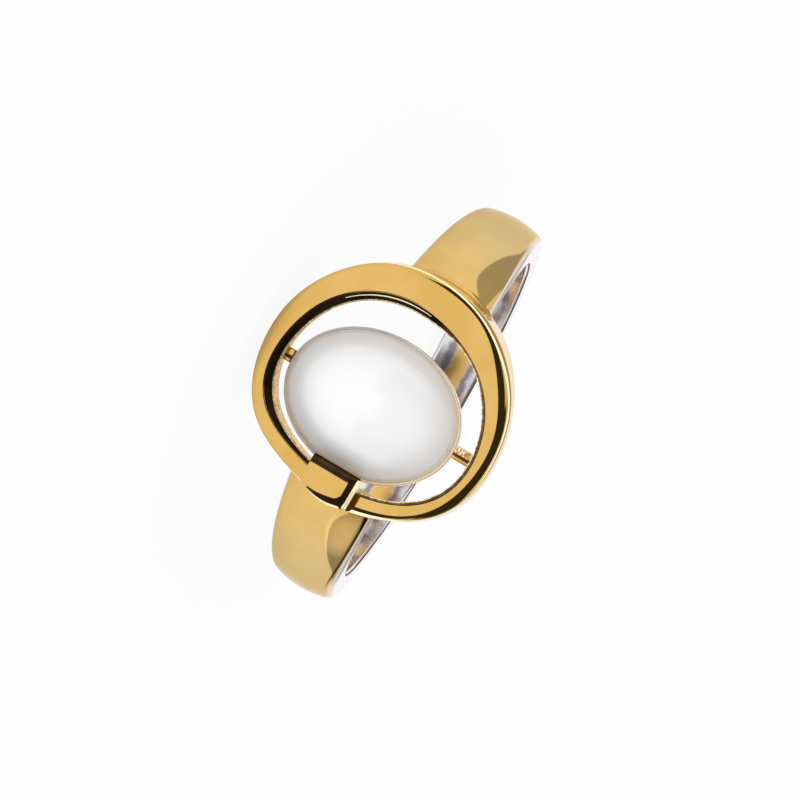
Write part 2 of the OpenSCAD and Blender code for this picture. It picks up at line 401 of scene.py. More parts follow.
def inner_offset(r, angle):
    """Distance of an inner ring from the flat face's inner edge."""
    step = step_width(angle)
    part = (STEP_DEPTH - INNER_ROUND) / (LEDGE_DEPTH - INNER_ROUND)
    plain = max(wall_lean(angle) - step, LEAST_LEAN)
    foot = plain + step
    places = {
        UPPER: plain * part,
        STEPPED: plain * part + step,
        FOOT: foot,
        LEDGE: foot + ledge_width(angle),
        UNDER: foot + ledge_width(angle) - undercut(angle),
    }
    for mark, place in places.items():
        if abs(r - mark) < 0.01:
            return -INNER_ROUND - place
    return r - FACE_EDGE


def band_height(x, y):
    """Height of the band's crowned outside over a point of the ring's plan."""
    y = min(abs(y), CROWN_REACH)
    r = BAND_R - CROWN_R + sqrt(CROWN_R ** 2 - y * y)
    return sqrt(max(r * r - x * x, 0.0))


def wall_radius(angle, z):
    """Radius of the hoop's outer wall at a height."""
    top = HOOP_TOP - shoulder_depth(angle) * (ROUND + HOLD) / ROUND
    down = part_way(z, top, BORE_R)
    return hoop_outer(angle) + (hoop_base(angle) - hoop_outer(angle)) * down


def fillet_size(angle):
    """Width and height of the fillet at the wall's foot, only over the band."""
    across = abs(hoop_outer(angle) * sin(angle))
    over = 1 - part_way(across, FILLET_FULL, FILLET_GONE) ** 2
    if cos(angle) > 0:
        return TAB_FILLET * over, TAB_FILLET * over
    return FILLET_W * over, FILLET_H * over


def fillet_point(out, angle):
    """Point of the fillet: out runs from 0 at the wall to 1 on the band."""
    width, height = fillet_size(angle)
    foot = hoop_base(angle)
    radius = wall_radius(angle, band_height(foot * cos(angle), foot * sin(angle)) + height)
    radius += width * out
    x, y = radius * cos(angle), radius * sin(angle) + HOOP_SHIFT
    rise_up = height * (1 - sqrt(max(2 * out - out * out, 0.0)))
    return Vector((x, y, band_height(x, y) + rise_up - FILLET_SINK * out))


def shoulder_point(r, depth, angle):
    """Moves a point along the shoulder's arc, so that the marked faces lie on
    the painted highlight line."""
    turn = shoulder_turn(r, depth)
    half = LINE_HALF + LINE_MORE * max(0.0, cos(angle - LINE_WIDEST)) ** LINE_FADE
    first = line_place(angle) - half
    last = min(line_place(angle) + half, LINE_LOWEST)
    if turn < LINE_START:
        turn *= first / LINE_START
    elif turn > LINE_END:
        turn = 90 - (90 - turn) * (90 - last) / (90 - LINE_END)
    else:
        turn = first + (last - first) * (turn - LINE_START) / (LINE_END - LINE_START)
    return ROUND_START + ROUND * sin(radians(turn)), -ROUND + ROUND * cos(radians(turn))


def hoop_point(r, depth, angle):
    """Place on the hoop of a point of the drawn section."""
    near = 0.01
    if abs(depth - FILLET) < near and r > WALL - near:
        return fillet_point(r - WALL, angle)
    if abs(depth - LOW) < near:
        foot = hoop_inner(angle) + inner_offset(UNDER, angle)
        radius = foot + (hoop_base(angle) - foot) * (r - UNDER) / (WALL - UNDER)
        x, y = radius * cos(angle), radius * sin(angle)
        return Vector((x, y + HOOP_SHIFT, sqrt((BORE_R + UNDERSIDE_GAP) ** 2 - x * x)))
    if r < SPLIT:
        radius = hoop_inner(angle) + inner_offset(r, angle)
    else:
        if r > ROUND_START - near and depth > -ROUND - near:
            r, depth = shoulder_point(r, depth, angle)
        radius = hoop_outer(angle) + (r - WALL) * shoulder_width(angle) / ROUND
        depth *= shoulder_depth(angle) / ROUND
    return Vector((radius * cos(angle), radius * sin(angle) + HOOP_SHIFT, HOOP_TOP + depth))


def notch_cutter():
    """Solid that parts the tab from the tail's sloped end."""
    start = TAB_END + HOOP_SHIFT
    end = start + NOTCH_W
    back, over = 0.6, 1.0
    inner_end, length = 3.5, 4.0
    outline = [
        (start - back, -NOTCH_DEPTH), (end, -NOTCH_DEPTH), (end + NOTCH_SLOPE, 0),
        (end + NOTCH_SLOPE * (1 + over / NOTCH_DEPTH), over), (start - back, over),
    ]
    bm = bmesh.new()
    face = bm.faces.new([bm.verts.new((inner_end, y, HOOP_TOP + z)) for y, z in outline])
    grown = bmesh.ops.extrude_face_region(bm, geom=[face])
    bmesh.ops.translate(bm, verts=only(BMVert, grown["geom"]), vec=(length, 0, 0))
    bmesh.ops.recalc_face_normals(bm, faces=bm.faces)
    # The cut faces are painted as shade on the tail's sloped end.
    for side in bm.faces:
        side.material_index = SHADED
    return bm


def cut(bm, cutter):
    """Takes the cutter out of a mesh and gives the rest back."""
    whole, tool = new_object("uncut", bm), new_object("cutter", cutter)
    boolean = whole.modifiers.new("cut", "BOOLEAN")
    boolean.operation = "DIFFERENCE"
    boolean.solver = "EXACT"
    boolean.object = tool
    seen = whole.evaluated_get(bpy.context.evaluated_depsgraph_get())
    rest = bmesh.new()
    rest.from_mesh(seen.to_mesh())
    for obj in (whole, tool):
        mesh = obj.data
        bpy.data.objects.remove(obj)
        bpy.data.meshes.remove(mesh)
    return rest


def hoop_slot(middle):
    """Finish of a face of the drawn hoop."""
    r = hypot(middle.x, middle.y)
    if r < FOOT:
        return CAST
    # Painted highlight on the step and on the shoulder's line; the inner wall above the ledge is painted
    # dark as a dark reflection.
    if STEPPED < r < UPPER and step_width(atan2(middle.y, middle.x)) > STEP_SHOWS:
        return PAINTED_HIGHLIGHT
    if r < FACE_EDGE - FACE_LAP:
        return PAINTED_DARK
    on_shoulder = r > ROUND_START and -ROUND < middle.z < 0
    if on_shoulder and LINE_START < shoulder_turn(r, middle.z) < LINE_END:
        return PAINTED_HIGHLIGHT
    return POLISHED


def make_hoop(materials):
    """Open crescent with a flat face, a leaning inner wall and a cast ledge."""
    bm = bmesh.new()
    spin_round(bm, closed_loop(bm, [(r, 0, z) for r, z in hoop_section()]), HOOP_STEPS)
    for face in bm.faces:
        face.material_index = hoop_slot(face.calc_center_median())
    for v in bm.verts:
        v.co = hoop_point(hypot(v.co.x, v.co.y), v.co.z, atan2(v.co.y, v.co.x))
    bmesh.ops.recalc_face_normals(bm, faces=bm.faces)
    finish_mesh("hoop", cut(bm, notch_cutter()), materials)


# Tab

def tab_ring(bm, turn):
    """One ring of the tab's outline: turn goes from 0 at the flat top's edge to
    90 degrees at the upright sides."""
    part = turn / 90
    inset, drop = 1 - sin(radians(turn)), 1 - cos(radians(turn))
    x0, x1 = TAB_IN + TAB_INNER_W * inset, TAB_OUT
    y0, y1 = TAB_START + ARM_CORNER * inset, TAB_END - TAB_END_W * inset
    outer_r, inner_r = [least + more * inset for least, more in (OUTER_CORNER, INNER_CORNER)]
    step = (y1 - y0) / 14
    arm_corner = arc(x1 - ARM_CORNER, y0 + ARM_CORNER, ARM_CORNER, -90, 0, 4)
    outer_side = [(x1, y0 + step * i) for i in range(1, 11)]
    outer_side += arc(x1 - outer_r, y1 - outer_r, outer_r, 0, 90, 12)
    inner_side = arc(x0 + inner_r, y1 - inner_r, inner_r, 90, 180, 6)
    inner_side += [(x0, y1 - step * i) for i in range(2, 13)]
    inner_side += arc(x0 + ARM_CORNER, y0 + ARM_CORNER, ARM_CORNER, 180, 270, 4)
    points = []
    for side, slanted in ((arm_corner, False), (outer_side, True), (inner_side, False)):
        for x, y in side:
            along = part_way(y, *ALONG)
            to_end = part_way(y, y1 - outer_r, y1)
            width = TAB_SLANT_W[0] + (TAB_SLANT_W[1] - TAB_SLANT_W[0]) * along ** 2 * (3 - 2 * along)
            x -= part_way(x, *OUTWARDS) * (TAB_BULGE * (y - BULGE_AT) ** 2 + (1 - part) * width)
            lower = TAB_END_DEPTH * drop
            if slanted:
                lower += (TAB_SLANT * width * part - lower) * (1 - to_end ** 2)
            points.append((x, y + HOOP_SHIFT, HOOP_TOP + TAB_RISE - lower))
    return closed_loop(bm, points)


def tab_slot(face):
    """Finish of a face of the tab."""
    middle = face.calc_center_median()
    # Painted dark reflection on the inner side, the tail end and tilted faces; painted highlight on the
    # lower slant.
    if middle.x < TAB_IN + TAB_INNER_W or middle.y > TAB_END + HOOP_SHIFT - TAB_END_W * 0.8:
        return PAINTED_DARK
    if middle.x < FLARED[0] or middle.y < BRIGHT_FROM:
        return POLISHED
    if middle.z < HOOP_TOP + TAB_RISE - TAB_SLANT * TAB_SLANT_W[1] * 0.99:
        return PAINTED_HIGHLIGHT
    return POLISHED if abs(face.normal.z) > LEVEL else PAINTED_DARK


def make_tab(materials):
    """Raised rounded end of the thick arm, lapped over the stone's edge."""
    bm = bmesh.new()
    rings = [tab_ring(bm, turn) for turn in range(0, 91, 6)]
    foot = [v.co.copy() for v in only(BMVert, rings[-1])]
    for point in foot:
        point.z = TAB_FOOT
        point.x += TAB_FLARE * part_way(point.x, *FLARED)
    rings.append(closed_loop(bm, foot))
    edges = [only(BMEdge, ring) for ring in rings]
    for upper, lower in zip(edges, edges[1:]):
        bmesh.ops.bridge_loops(bm, edges=upper + lower)
    caps = [bmesh.ops.contextual_create(bm, geom=rim)["faces"] for rim in (edges[0], edges[-1])]
    bmesh.ops.inset_region(bm, faces=caps[0], thickness=HOLD)
    bm.normal_update()
    for face in bm.faces:
        face.material_index = tab_slot(face)
    finish_mesh("tab", bm, materials, crease=50)


def soft_box(low, high, soft, cuts, finish):
    """Box whose edges are rounded: soft maps a side, such as 'x0', to a radius."""
    bm = bmesh.new()
    bmesh.ops.create_cube(bm, size=2)
    bmesh.ops.subdivide_edges(bm, edges=bm.edges, cuts=cuts, use_grid_fill=True)
    for v in bm.verts:
        way, core, radii = [], [], []
        for i, axis in enumerate("xyz"):
            at = low[i] + (high[i] - low[i]) * (v.co[i] + 1) / 2
            r0, r1 = soft.get(axis + "0", 0.0), soft.get(axis + "1", 0.0)
            inner = min(max(at, low[i] + r0), high[i] - r1)
            radius = (r0 if at < inner else r1) or 1.0
            core.append(inner)
            radii.append(radius)
            way.append((at - inner) / radius)
        length = sqrt(sum(w * w for w in way)) or 1.0
        v.co = Vector([c + w / length * r for c, w, r in zip(core, way, radii)])
    for face in bm.faces:
        face.material_index = finish
    return bm


def make_ridges(materials):
    """Two thin ridges with a painted highlight that run across the notch, from
    under the tab's inner end to the outer wall."""
    soft = {side: RIDGE_ROUND for side in ("x0", "x1", "y0", "y1", "z1")}
    for number, place in enumerate(RIDGES, 1):
        start = TAB_END + HOOP_SHIFT + place
        low = (RIDGE_IN, start, HOOP_TOP - LEDGE_DEPTH)
        high = (RIDGE_OUT, start + RIDGE_W, HOOP_TOP - RIDGE_DROP)
        finish_mesh(f"notch_ridge_{number}", soft_box(low, high, soft, 9, PAINTED_HIGHLIGHT), materials)


# Stone, cup and bars

# Profiles of the stone and the cup meet the oval at this radius.
OVAL = 4.0


def oval_point(v, half_w, half_l):
    """Place of a spun vertex: inside the oval it is scaled, outside it keeps
    its distance from the oval."""
    r = hypot(v.co.x, v.co.y)
    angle = atan2(v.co.y, v.co.x)
    on = Vector((half_w * cos(angle), half_l * sin(angle)))
    if r < OVAL:
        on *= r / OVAL
    else:
        out = Vector((cos(angle) / half_w, sin(angle) / half_l)).normalized()
        on += out * (r - OVAL)
    return Vector((on.x + PEARL_SHIFT, on.y + PEARL_ALONG, v.co.z))


def spun_oval(profile, half_w, half_l):
    """Closed solid: a profile of (radius, height) spun and made oval."""
    bm = bmesh.new()
    verts = [bm.verts.new((r, 0, z)) for r, z in profile]
    edges = [bm.edges.new((a, b)) for a, b in zip(verts, verts[1:])]
    spin_round(bm, verts + edges, 144)
    for v in bm.verts:
        v.co = oval_point(v, half_w, half_l)
    return bm


def make_cup(materials):
    """Shallow oval cup under the stone, its rim burnished over."""
    floor = PEARL_SEAT - PEARL_GAP
    low, rim = floor - CUP_FLOOR, floor + CUP_RIM
    out = OVAL + CUP_WALL
    profile = [(0, low), (OVAL - 1, low), (OVAL - CUP_ROUND, low)]
    profile += arc(out - CUP_ROUND, low + CUP_ROUND, CUP_ROUND, -90, 0, 5)
    for a in range(90, 0, -15):
        down = sin(radians(a))
        profile.append((out - RIM_LEAN * (1 - down), rim - CUP_ROUND * down))
    profile += [(out - CUP_WALL / 2, rim + 0.01), (OVAL - RIM_OVER, rim - 0.01), (OVAL, rim - 0.04)]
    profile += [(OVAL, floor), (OVAL - 1, floor), (0, floor)]
    bm = spun_oval(profile, PEARL_W / 2 + PEARL_GAP, PEARL_L / 2 + PEARL_GAP)
    for face in bm.faces:
        on_rim = face.calc_center_median().z > rim - 0.08
        # The rim takes a pale finish, a painted reflection.
        face.material_index = RIM if on_rim else INSIDE
    finish_mesh("stone_cup", bm, materials)


def make_pearl(material):
    """Low dome with a bevelled girdle and a flat back."""
    seat, girdle, bevel = PEARL_SEAT, PEARL_SEAT + PEARL_GIRDLE, PEARL_SEAT + PEARL_BEVEL
    edge = OVAL - PEARL_INSET
    back = [(0, seat), (OVAL / 2, seat), (OVAL - 0.1, seat), (OVAL - 0.02, seat + 0.02), (OVAL, seat + 0.08)]
    upright = [(OVAL, girdle - 0.05), (OVAL - 0.01, girdle), (OVAL - 0.03, girdle + 0.05)]
    profile = back + upright + [(edge + 0.03, bevel - 0.06)]
    for i in range(DOME_STEPS + 1):
        r = edge * (1 - (i / DOME_STEPS) ** DOME_SPREAD)
        profile.append((r, bevel + (PEARL_TOP - PEARL_BEVEL) * (1 - (r / edge) ** DOME_CURVE)))
    bm = spun_oval(profile, PEARL_W / 2, PEARL_L / 2)
    piece = finish_mesh("pearl_cabochon_dome", bm, [material], crease=60)
    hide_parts("pearl_cabochon")


def make_bars(side, materials):
    """Wide and narrow bar from one end of the cup to the hoop, with a web
    between them."""
    end = "tail" if side > 0 else "arm"
    start = PEARL_L / 2 + PEARL_GAP + CUP_WALL / 2
    length = hoop_inner(pi - side * pi / 2) - side * (PEARL_ALONG - HOOP_SHIFT) - start
    near = PEARL_ALONG + (start if side > 0 else -start - length)
    left = PEARL_SHIFT + BAR_SHIFT - (BAR_W + BAR_SPACE + BAR_THIN_W) / 2
    top = PEARL_SEAT + CUP_RIM - BAR_DROP
    soft = {edge: BAR_ROUND for edge in ("x0", "x1", "z0", "z1")}
    soft.update(y0=BAR_END_ROUND, y1=BAR_END_ROUND)
    # Name, place across, width, depth of its top, finish.
    bars = (
        ("wide", 0, BAR_W, 0, CAST if side > 0 else POLISHED),
        ("narrow", BAR_W + BAR_SPACE, BAR_THIN_W, 0, POLISHED),
        # The web in the groove is painted as shade.
        ("web", BAR_W - WEB_LAP, BAR_SPACE + 2 * WEB_LAP, BAR_GROOVE, SHADED),
    )
    for name, place, width, sink, finish in bars:
        low = (left + place, near, top - BAR_DEPTH)
        high = (left + place + width, near + length, top - sink)
        finish_mesh(f"{name}_bar_{end}", soft_box(low, high, soft, 11, finish), materials)


# Node helpers

def node(tree, kind, values=None, **settings):
    """Adds a shader node; values sets its sockets to numbers or other outputs."""
    made = tree.nodes.new("ShaderNode" + kind)
    for name, setting in settings.items():
        setattr(made, name, setting)
    for key, value in (values or {}).items():
        if isinstance(value, bpy.types.NodeSocket):
            tree.links.new(value, made.inputs[key])
        else:
            made.inputs[key].default_value = value
    return made


def calc(tree, operation, *values):
    """Result of one sum."""
    return node(tree, "Math", dict(enumerate(values)), operation=operation).outputs[0]


def times(tree, first, second):
    """First times second."""
    return calc(tree, "MULTIPLY", first, second)


def plus(tree, first, second):
    """First plus second."""
    return calc(tree, "ADD", first, second)


def minus(tree, first, second):
    """First minus second."""
    return calc(tree, "SUBTRACT", first, second)


def rise(tree, value, start, end, low=0.0, high=1.0):
    """Smooth change from low to high as value goes from start to end."""
    made = node(tree, "MapRange", {0: value, 1: start, 2: end, 3: low, 4: high},
                interpolation_type="SMOOTHSTEP")
    return made.outputs[0]


def blend(tree, amount, first, second):
    """Mixed colour."""
    return node(tree, "Mix", {0: amount, 6: first, 7: second}, data_type="RGBA").outputs[2]


def ring_place(tree):
    """Place in the ring's own frame, in millimetres."""
    place = node(tree, "TexCoord").outputs["Object"]
    laid = {"Vector": place, "Location": MIDDLE, "Rotation": (pi / 2 - LEAN, 0, 0),
            "Scale": (MM, MM, MM)}
    return node(tree, "Mapping", laid, vector_type="TEXTURE").outputs[0]


def axes(tree, place):
    """Place across, along the finger and up."""
    return node(tree, "SeparateXYZ", {0: place}).outputs


def stretch(tree, place, scale):
    """Place with each axis scaled on its own."""
    return node(tree, "Mapping", {"Vector": place, "Scale": scale}).outputs[0]


def noise(tree, place, scale, detail, **more):
    """Cloudy noise, from 0 to 1."""
    values = {"Vector": place, "Scale": scale, "Detail": detail, **more}
    return node(tree, "TexNoise", values).outputs[0]


def new_group(name, inputs, outputs):
    """Node group: its tree, its inputs and the node that takes its results."""
    tree = bpy.data.node_groups.new(name, "ShaderNodeTree")
    for way, sockets in (("INPUT", inputs), ("OUTPUT", outputs)):
        for label, kind in sockets.items():
            tree.interface.new_socket(label, in_out=way, socket_type="NodeSocket" + kind)
    return tree, tree.nodes.new("NodeGroupInput").outputs, tree.nodes.new("NodeGroupOutput")


def place_group(tree, group, **values):
    """Puts a group in a material with its own values and gives its outputs."""
    made = tree.nodes.new("ShaderNodeGroup")
    made.node_tree = group
    for label, value in values.items():
        made.inputs[label].default_value = value
    return made.outputs


# Effects that the finishes share

def polish_effect():
    """Fine marks of the polishing wheel: a little more or less gloss, and
    hairlines that barely break a reflection."""
    sockets = {"Roughness": "Float", "Haze": "Float", "Marks": "Float", "Size": "Float"}
    tree, given, result = new_group("polish_marks", sockets, {"Roughness": "Float", "Normal": "Vector"})
    place = ring_place(tree)
    lines = noise(tree, stretch(tree, place, (14, 1.6, 14)), 2.2, 5.0, Roughness=0.65)
    mixed = times(tree, noise(tree, place, 1.1, 4.0), lines)
    spread = times(tree, rise(tree, mixed, 0.15, 0.4), given["Haze"])
    tree.links.new(plus(tree, given["Roughness"], spread), result.inputs["Roughness"])
    height = plus(tree, noise(tree, place, given["Size"], 2.0), times(tree, lines, 0.12))
    bump = node(tree, "Bump", {"Strength": given["Marks"], "Distance": 0.02 * MM, "Height": height})
    tree.links.new(bump.outputs[0], result.inputs["Normal"])
    return tree


def plating_effect():
    """Plating that is a little deeper here and paler there."""
    sockets = {"Deep": "Color", "Light": "Color", "Size": "Float"}
    tree, given, result = new_group("plating_tone", sockets, {"Color": "Color"})
    tone = rise(tree, noise(tree, ring_place(tree), given["Size"], 3.0), 0.35, 0.65)
    tree.links.new(blend(tree, tone, given["Deep"], given["Light"]), result.inputs["Color"])
    return tree


def grain_effect():
    """Sandy skin of cast metal: fine pits and grains with darker hollows."""
    sockets = {"Hollow": "Color", "Grain": "Color", "Size": "Float", "Depth": "Float"}
    outputs = {"Color": "Color", "Roughness": "Float", "Normal": "Vector"}
    tree, given, result = new_group("cast_grain", sockets, outputs)
    place = ring_place(tree)
    grains = node(tree, "TexVoronoi", {"Vector": place, "Scale": given["Size"]})
    speckle = noise(tree, place, times(tree, given["Size"], 0.6), 3.0)
    height = minus(tree, speckle, times(tree, grains.outputs[0], 0.5))
    tone = rise(tree, height, 0.0, 0.45)
    tree.links.new(blend(tree, tone, given["Hollow"], given["Grain"]), result.inputs["Color"])
    rough = minus(tree, 0.5, times(tree, tone, 0.22))
    tree.links.new(rough, result.inputs["Roughness"])
    bump = node(tree, "Bump", {"Strength": given["Depth"], "Distance": 0.04 * MM, "Height": height})
    tree.links.new(bump.outputs[0], result.inputs["Normal"])
    return tree


# Finishes

# Tones put over the plating in places. Those for the edge highlight, the
# dark line, the streak, the stripe and the arm's edge are painted light and shade.
BACK_TONE = (0.64, 0.50, 0.28, 1)
EDGE_HIGHLIGHT_TONE = (1.0, 0.88, 0.76, 1)
DARK_REFLECTION_LINE = (0.10, 0.06, 0.02, 1)
DARK_REFLECTION_STREAK = (0.33, 0.29, 0.31, 1)
GOLD_REFLECTION_STRIPE = (0.82, 0.53, 0.15, 1)
GOLD_RIM = (1.0, 0.84, 0.62, 1)
ARM_EDGE_SHADE = (0.36, 0.23, 0.07, 1)
# Tones of the stone: its body, its layers and veils, and the painted shade on
# its high side and edge and on its upright side on the high and on the low side.
MILK = (0.98, 0.98, 0.98, 1)
LAYER, VEIL = (0.90, 0.91, 0.94, 1), (0.92, 0.90, 0.90, 1)
HIGH_SIDE_SHADE, EDGE_SHADE = (0.5, 0.5, 0.51, 1), (0.55, 0.56, 0.60, 1)
HIGH_GIRDLE_SHADE, LOW_GIRDLE_SHADE = (0.86, 0.85, 0.87, 1), (0.70, 0.68, 0.67, 1)


def new_material(name):
    """Material with its node tree and its shader."""
    material = bpy.data.materials.new(name)
    material.use_nodes = True
    return material, material.node_tree, material.node_tree.nodes["Principled BSDF"]


def join(tree, outputs, shader, **sockets):
    """Joins a group's outputs to the named sockets of the shader."""
    for label, target in sockets.items():
        tree.links.new(outputs[label], shader.inputs[target])


def plated(name, effects, deep, light, tint, roughness, haze, marks, metallic=1.0, glow=0.0):
    """Plated metal. Tint is the colour that it keeps at a low angle; a satin
    finish is less metallic; glow is painted light, the colour shining as emission."""
    polish, plating = effects
    material, tree, shader = new_material(name)
    shader.inputs["Metallic"].default_value = metallic
    shader.inputs["Specular Tint"].default_value = (*tint, 1)
    tone = place_group(tree, plating, Deep=(*deep, 1), Light=(*light, 1), Size=0.45)
    join(tree, tone, shader, Color="Base Color")
    join(tree, tone, shader, Color="Emission Color")
    shader.inputs["Emission Strength"].default_value = glow
    wheel = place_group(tree, polish, Roughness=roughness, Haze=haze, Marks=marks, Size=1.3)
    join(tree, wheel, shader, Roughness="Roughness", Normal="Normal")
    return material


def cast(name, effect, hollow, grain, size, depth):
    """Metal left as it was cast. Its colour also shines faintly as emission, painted light."""
    material, tree, shader = new_material(name)
    shader.inputs["Metallic"].default_value = 0.75
    shader.inputs["Specular Tint"].default_value = (*grain, 1)
    sandy = place_group(tree, effect, Hollow=(*hollow, 1), Grain=(*grain, 1), Size=size, Depth=depth)
    join(tree, sandy, shader, Color="Base Color", Roughness="Roughness", Normal="Normal")
    join(tree, sandy, shader, Color="Emission Color")
    shader.inputs["Emission Strength"].default_value = 0.2
    return material


def reopen(material):
    """A plated material's tree and shader, and the colour and the roughness
    that its groups give."""
    tree = material.node_tree
    shader = tree.nodes["Principled BSDF"]
    plate, gloss = [shader.inputs[label].links[0].from_socket for label in ("Base Color", "Roughness")]
    return tree, shader, plate, gloss


def crown_finish(effects):
    """The band's outside: polished as the head is, paler towards the back, with
    a painted highlight of pale satin along one edge and a painted dark line
    beside it past the tab."""
    material = plated("gold_crown", effects, deep=(0.76, 0.50, 0.155), light=(0.84, 0.56, 0.185),
                      tint=(0.90, 0.78, 0.58), roughness=0.05, haze=0.03, marks=0.05)
    tree, shader, plate, gloss = reopen(material)
    across, along, up = axes(tree, ring_place(tree))
    back = rise(tree, calc(tree, "ABSOLUTE", across), 6.0, BAND_R, 0.0, 0.8)
    plate = blend(tree, back, plate, BACK_TONE)
    # Place across the band, as a share of its half width there.
    flare = calc(tree, "MULTIPLY_ADD", times(tree, up, BAND_FLARE), up, BAND_W)
    half = times(tree, calc(tree, "MULTIPLY_ADD", up, BAND_TAPER, flare), 0.5)
    share = calc(tree, "DIVIDE", along, half)
    # The painted edge highlight is narrower and harder towards the head.
    start = rise(tree, up, 2.5, 8.0, 0.78, 0.93)
    end = plus(tree, start, rise(tree, up, 2.5, 7.0, 0.16, 0.02))
    edge_highlight = rise(tree, share, start, end)
    # The painted dark line runs just inside it.
    by_tab = times(tree, rise(tree, across, 1.0, 3.0), rise(tree, up, 3.0, 4.6))
    off = calc(tree, "ABSOLUTE", minus(tree, share, minus(tree, start, 0.02)))
    line = times(tree, rise(tree, off, 0.035, 0.015), by_tab)
    plate = blend(tree, line, plate, DARK_REFLECTION_LINE)
    tree.links.new(blend(tree, edge_highlight, plate, EDGE_HIGHLIGHT_TONE), shader.inputs["Base Color"])
    tree.links.new(calc(tree, "MULTIPLY_ADD", edge_highlight, -0.7, 1.0), shader.inputs["Metallic"])
    tree.links.new(calc(tree, "MULTIPLY_ADD", edge_highlight, 0.22, gloss), shader.inputs["Roughness"])
    return material


def inside_finish(effects):
    """Pale silver inside the band. Round the back a soft gold stripe along the
    middle is a painted reflection, with painted dark streaks beside it."""
    material = plated("silver_inside", effects, deep=(0.80, 0.76, 0.78), light=(0.88, 0.85, 0.88),
                      tint=(1.0, 0.98, 1.0), roughness=0.09, haze=0.0, marks=0.0, metallic=0.85)
    tree, shader, plate, _ = reopen(material)
    place = ring_place(tree)
    along, up = axes(tree, place)[1:]
    wander = noise(tree, place, 1.6, 3.0)
    off = plus(tree, along, times(tree, minus(tree, wander, 0.7), 0.5))
    off = calc(tree, "ABSOLUTE", off)
    where = rise(tree, up, -4.5, -7.2)
    # Painted dark reflection in streaks beside the stripe, and the stripe as a painted gold reflection.
    streaks = rise(tree, calc(tree, "ABSOLUTE", minus(tree, off, 0.66)), 0.34, 0.05)
    plate = blend(tree, times(tree, where, streaks), plate, DARK_REFLECTION_STREAK)
    stripe = times(tree, where, rise(tree, off, 0.6, 0.34))
    tree.links.new(blend(tree, stripe, plate, GOLD_REFLECTION_STRIPE), shader.inputs["Base Color"])
    return material


def change_along(material, start, end, most, tone):
    """Changes a plated material's tone along the finger, from start to end."""
    tree, shader, plate, _ = reopen(material)
    part = rise(tree, axes(tree, ring_place(tree))[1], start, end, 0.0, most)
    tree.links.new(blend(tree, part, plate, tone), shader.inputs["Base Color"])
    return material


def gold_finishes():
    """Finishes of the gold pieces, in the order of their slots. The polished
    face has painted shade along the thick arm's outer edge, and the cup's rim
    is pale as a painted reflection, turning to gold at one end."""
    effects = polish_effect(), plating_effect()
    face = plated("gold_polished", effects, deep=(0.745, 0.462, 0.122), light=(0.80, 0.51, 0.155),
                  tint=(0.98, 0.87, 0.68), roughness=0.045, haze=0.03, marks=0.05)
    # The rim's pale grey is a painted reflection; at one end it turns to its gold.
    rim = plated("cup_rim", effects, deep=(0.74, 0.70, 0.70), light=(0.88, 0.85, 0.84),
                 tint=(1.0, 0.98, 0.98), roughness=0.3, haze=0.05, marks=0.1, metallic=0.3)
    return [
        # Painted shade along the thick arm's outer edge.
        change_along(face, -5.35, -6.1, 0.5, ARM_EDGE_SHADE),
        # Painted dark reflection: near-black gold for the hoop's inner wall and the tab's inner side and
        # end; its colour also glows faintly as emission.
        plated("gold_recess", effects, deep=(0.022, 0.012, 0.006), light=(0.05, 0.03, 0.014),
               tint=(0.13, 0.09, 0.05), roughness=0.14, haze=0.05, marks=0.05, glow=0.4),
        cast("gold_cast", grain_effect(), hollow=(0.60, 0.33, 0.10), grain=(1.0, 0.84, 0.52),
             size=7.0, depth=0.8),
        # Painted highlight: pale satin gold that also shines as emission, for the bright lines.
        plated("gold_edge", effects, deep=(1.0, 0.90, 0.54), light=(1.0, 0.95, 0.66),
               tint=(1.0, 0.96, 0.8), roughness=0.26, haze=0.06, marks=0.05, metallic=0.15, glow=0.2),
        inside_finish(effects),
        # Painted shade: dark gold for the notch's slope, the web between the bars and a strip of the band's
        # inner edge.
        plated("gold_shade", effects, deep=(0.08, 0.035, 0.008), light=(0.18, 0.08, 0.02),
               tint=(0.5, 0.4, 0.2), roughness=0.2, haze=0.05, marks=0.1),
        crown_finish(effects),
        change_along(rim, -1.0, 3.0, 1.0, GOLD_RIM),
    ]


